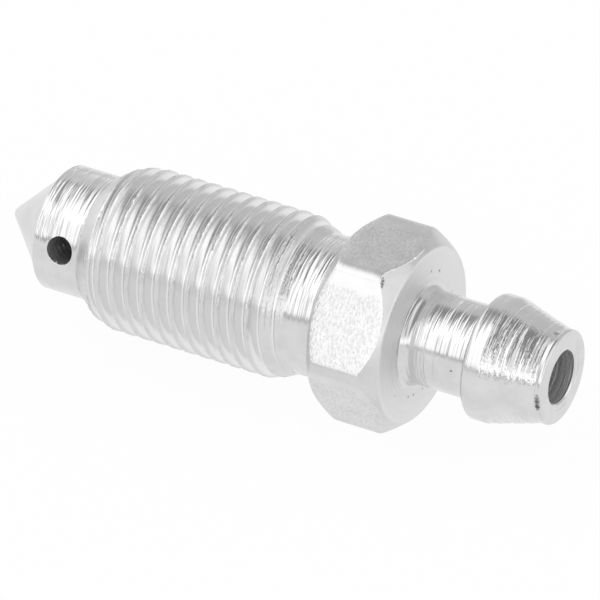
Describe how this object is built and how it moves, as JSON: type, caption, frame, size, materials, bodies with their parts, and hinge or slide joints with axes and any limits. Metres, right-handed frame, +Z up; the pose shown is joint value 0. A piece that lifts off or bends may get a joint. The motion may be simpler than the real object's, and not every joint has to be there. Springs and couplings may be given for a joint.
{
  "type": "bleeder screw",
  "caption": "Hollow turned screw with a seat cone and cross-drilled nose, a fine thread, a hexagon and a hose barb.",
  "frame": {"origin": "on the screw's axis, at the middle of the thread", "axes": "+X along the screw from the seat cone to the hose barb, +Z up and square to the hexagon flat that the screw lies on"},
  "size_m": [0.0363, 0.0124, 0.011],
  "materials": {
    "zinc_plated_steel": "bright zinc plating over turned steel, with fine turning marks round the screw and a sandy texture on the hexagon's flats"
  },
  "bodies": {
    "root": {"bleeder_screw": "zinc_plated_steel"}
  },
  "joints": []
}
